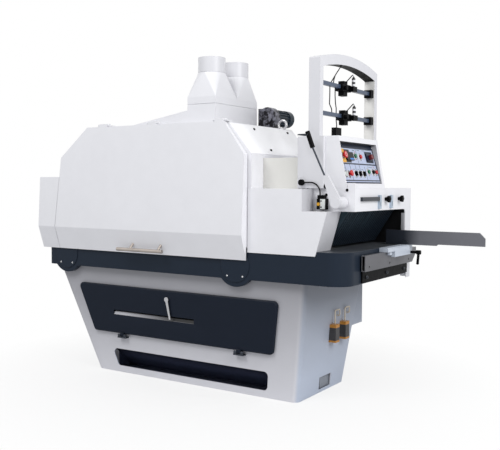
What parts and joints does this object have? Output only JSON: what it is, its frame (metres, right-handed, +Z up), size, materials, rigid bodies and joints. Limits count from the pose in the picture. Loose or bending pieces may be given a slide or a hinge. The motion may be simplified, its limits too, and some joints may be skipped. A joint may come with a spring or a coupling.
{
  "type": "multi-rip saw",
  "caption": "Chain-fed multi-blade rip saw with a tapered base, lift-up hood, twin dust outlets, sloping control console, laser arch and sliding rip fence.",
  "frame": {"origin": "on the floor, under the middle of the base cabinet's foot", "axes": "+X towards the infeed end, -Y towards the operator's side, +Z up"},
  "size_m": [2.736, 1.084, 1.972],
  "materials": {
    "cream_paint": "satin",
    "white_paint": "satin",
    "dark_paint": "satin",
    "galvanised": "matt",
    "ground_steel": "ground",
    "dark_steel": "oiled",
    "bright_steel": "polished",
    "cast_iron": "painted",
    "motor_paint": "satin",
    "panel_grey": "printed",
    "aluminium": "anodised",
    "black_plastic": "matt",
    "red_plastic": "gloss",
    "green_plastic": "gloss",
    "dark_red_plastic": "gloss",
    "white_plastic": "gloss",
    "lubricator": "matt",
    "belt_rubber": "matt",
    "roller_rubber": "matt"
  },
  "bodies": {
    "frame": {"base_cabinet": "cream_paint", "toe_tray": "dark_paint", "electric_box": "white_paint", "table_bed": "dark_paint", "bearing_covers": "dark_paint", "feed_chain": "dark_steel", "feed_gearmotor": "motor_paint", "front_rail": "ground_steel", "upper_housing": "white_paint", "shoulder_panel": "white_paint", "end_housing": "white_paint", "dust_hood": "white_paint", "lift_motor": "motor_paint", "lifting_eye": "bright_steel", "infeed_housing": "white_paint", "infeed_guard": "white_paint", "console_box": "white_paint", "faceplate": "panel_grey", "arch_frame": "white_paint", "laser_mounts": "dark_steel", "limit_switch": "black_plastic", "gauge_bars": "ground_steel", "lube_units": "lubricator", "main_motor": "motor_paint", "drive_belt": "belt_rubber", "drive_cover": "white_paint"},
    "hood": {"hood": "white_paint", "hood_handle": "dark_steel"},
    "base_door": {"base_door": "dark_paint"},
    "base_latch": {"base_latch": "bright_steel"},
    "arbor": {"saw_arbor": "ground_steel", "saw_blades": "bright_steel"},
    "motor_shaft": {"motor_shaft": "ground_steel"},
    "drive_shaft": {"drive_shaft": "ground_steel"},
    "idler_shaft": {"idler_shaft": "ground_steel"},
    "press": {"press_frames": "cast_iron"},
    "roller_infeed": {"roller_infeed": "roller_rubber"},
    "roller_outfeed": {"roller_outfeed": "roller_rubber"},
    "lever": {"hand_lever": "white_paint", "kickback_fingers": "dark_steel"},
    "lever_trigger": {"lever_trigger": "black_plastic"},
    "fence": {"fence_carriage": "aluminium", "fence_plate": "ground_steel"},
    "clamp_lever": {"clamp_lever": "black_plastic"},
    "laser_upper": {"laser_upper": "black_plastic"},
    "laser_lower": {"laser_lower": "black_plastic"},
    "star_knob_near": {"star_knob_near": "black_plastic"},
    "star_knob_far": {"star_knob_far": "black_plastic"},
    "estop": {"estop": "red_plastic"},
    "mushroom_stop": {"mushroom_stop": "red_plastic"},
    "start_button": {"start_button": "green_plastic"},
    "stop_button": {"stop_button": "red_plastic"},
    "button_up": {"button_up": "green_plastic"},
    "button_black": {"button_black": "black_plastic"},
    "button_down": {"button_down": "red_plastic"},
    "selector_left": {"selector_left": "white_plastic"},
    "selector_a": {"selector_a": "black_plastic"},
    "selector_b": {"selector_b": "black_plastic"},
    "selector_c": {"selector_c": "black_plastic"},
    "speed_knob": {"speed_knob": "dark_red_plastic"}
  },
  "joints": [
    {"name": "hood_lift", "type": "hinge", "parent": "frame", "child": "hood", "pos_m": [0, -0.34, 1.57], "axis": [-1, 0, 0], "range_deg": [0, 75]},
    {"name": "door_drop", "type": "hinge", "parent": "frame", "child": "base_door", "pos_m": [0, -0.32, 0.244], "axis": [1, 0, 0], "range_deg": [0, 90]},
    {"name": "latch_turn", "type": "hinge", "parent": "base_door", "child": "base_latch", "pos_m": [-0.149, -0.317, 0.503], "axis": [0, -1, 0], "range_deg": [0, 90]},
    {"name": "arbor_spin", "type": "hinge", "parent": "frame", "child": "arbor", "pos_m": [-0.3, 0.2, 1.01], "axis": [0, 1, 0], "continuous": true},
    {"name": "motor_spin", "type": "hinge", "parent": "frame", "child": "motor_shaft", "pos_m": [-0.3, 0.4, 0.2], "axis": [0, 1, 0], "continuous": true},
    {"name": "drive_spin", "type": "hinge", "parent": "frame", "child": "drive_shaft", "pos_m": [0.35, 0.1, 0.745], "axis": [0, 1, 0], "continuous": true},
    {"name": "idler_spin", "type": "hinge", "parent": "frame", "child": "idler_shaft", "pos_m": [-0.985, 0.1, 0.745], "axis": [0, 1, 0], "continuous": true},
    {"name": "press_lift", "type": "slide", "parent": "frame", "child": "press", "axis": [0, 0, 1], "range_m": [-0.08, 0.02]},
    {"name": "roller_infeed_spin", "type": "hinge", "parent": "press", "child": "roller_infeed", "pos_m": [-0.03, 0.1, 0.985], "axis": [0, 1, 0], "continuous": true},
    {"name": "roller_outfeed_spin", "type": "hinge", "parent": "press", "child": "roller_outfeed", "pos_m": [-0.57, 0.1, 0.985], "axis": [0, 1, 0], "continuous": true},
    {"name": "finger_lift", "type": "hinge", "parent": "frame", "child": "lever", "pos_m": [0.958, -0.285, 1.108], "axis": [0, 1, 0], "range_deg": [0, 40]},
    {"name": "trigger_squeeze", "type": "hinge", "parent": "lever", "child": "lever_trigger", "pos_m": [0.788, -0.285, 1.474], "axis": [0, -1, 0], "range_deg": [0, 12], "stiffness_Nm_per_rad": 0.8, "springref_deg": -2.86},
    {"name": "fence_slide", "type": "slide", "parent": "frame", "child": "fence", "axis": [0, 1, 0], "range_m": [-0.26, 0.06]},
    {"name": "clamp_turn", "type": "hinge", "parent": "fence", "child": "clamp_lever", "pos_m": [1.13, 0.47, 0.802], "axis": [1, 0, 0], "range_deg": [-75, 75]},
    {"name": "laser_upper_slide", "type": "slide", "parent": "frame", "child": "laser_upper", "axis": [0, 1, 0], "range_m": [-0.01, 0.2]},
    {"name": "laser_lower_slide", "type": "slide", "parent": "frame", "child": "laser_lower", "axis": [0, 1, 0], "range_m": [-0.01, 0.2]},
    {"name": "star_knob_near_turn", "type": "hinge", "parent": "frame", "child": "star_knob_near", "pos_m": [1.049, 0.217, 1.124], "axis": [1, 0, 0], "range_deg": [-180, 180]},
    {"name": "star_knob_far_turn", "type": "hinge", "parent": "frame", "child": "star_knob_far", "pos_m": [1.049, 0.421, 1.124], "axis": [1, 0, 0], "range_deg": [-180, 180]},
    {"name": "estop_press", "type": "slide", "parent": "frame", "child": "estop", "axis": [-0.9527, 0, -0.3038], "range_m": [0, 0.006], "stiffness_N_per_m": 600, "springref_m": -0.002},
    {"name": "mushroom_stop_press", "type": "slide", "parent": "frame", "child": "mushroom_stop", "axis": [-0.9527, 0, -0.3038], "range_m": [0, 0.006], "stiffness_N_per_m": 600, "springref_m": -0.002},
    {"name": "start_button_press", "type": "slide", "parent": "frame", "child": "start_button", "axis": [-0.9527, 0, -0.3038], "range_m": [0, 0.004], "stiffness_N_per_m": 600, "springref_m": -0.002},
    {"name": "stop_button_press", "type": "slide", "parent": "frame", "child": "stop_button", "axis": [-0.9527, 0, -0.3038], "range_m": [0, 0.004], "stiffness_N_per_m": 600, "springref_m": -0.002},
    {"name": "button_up_press", "type": "slide", "parent": "frame", "child": "button_up", "axis": [-0.9527, 0, -0.3038], "range_m": [0, 0.004], "stiffness_N_per_m": 600, "springref_m": -0.002},
    {"name": "button_black_press", "type": "slide", "parent": "frame", "child": "button_black", "axis": [-0.9527, 0, -0.3038], "range_m": [0, 0.004], "stiffness_N_per_m": 600, "springref_m": -0.002},
    {"name": "button_down_press", "type": "slide", "parent": "frame", "child": "button_down", "axis": [-0.9527, 0, -0.3038], "range_m": [0, 0.004], "stiffness_N_per_m": 600, "springref_m": -0.002},
    {"name": "selector_left_turn", "type": "hinge", "parent": "frame", "child": "selector_left", "pos_m": [0.95679, -0.173, 1.26324], "axis": [0.9527, 0, 0.3038], "range_deg": [-45, 45]},
    {"name": "selector_a_turn", "type": "hinge", "parent": "frame", "child": "selector_a", "pos_m": [0.95619, -0.042, 1.26514], "axis": [0.9527, 0, 0.3038], "range_deg": [-45, 45]},
    {"name": "selector_b_turn", "type": "hinge", "parent": "frame", "child": "selector_b", "pos_m": [0.95619, 0.013, 1.26514], "axis": [0.9527, 0, 0.3038], "range_deg": [-45, 45]},
    {"name": "selector_c_turn", "type": "hinge", "parent": "frame", "child": "selector_c", "pos_m": [0.95619, 0.068, 1.26514], "axis": [0.9527, 0, 0.3038], "range_deg": [-45, 45]},
    {"name": "speed_knob_turn", "type": "hinge", "parent": "frame", "child": "speed_knob", "pos_m": [0.9252, 0.211, 1.36232], "axis": [0.9527, 0, 0.3038], "range_deg": [-135, 135]}
  ],
  "couplings": [
    {"joint": "motor_spin", "follows": "arbor_spin", "ratio": 1},
    {"joint": "idler_spin", "follows": "drive_spin", "ratio": 1}
  ]
}
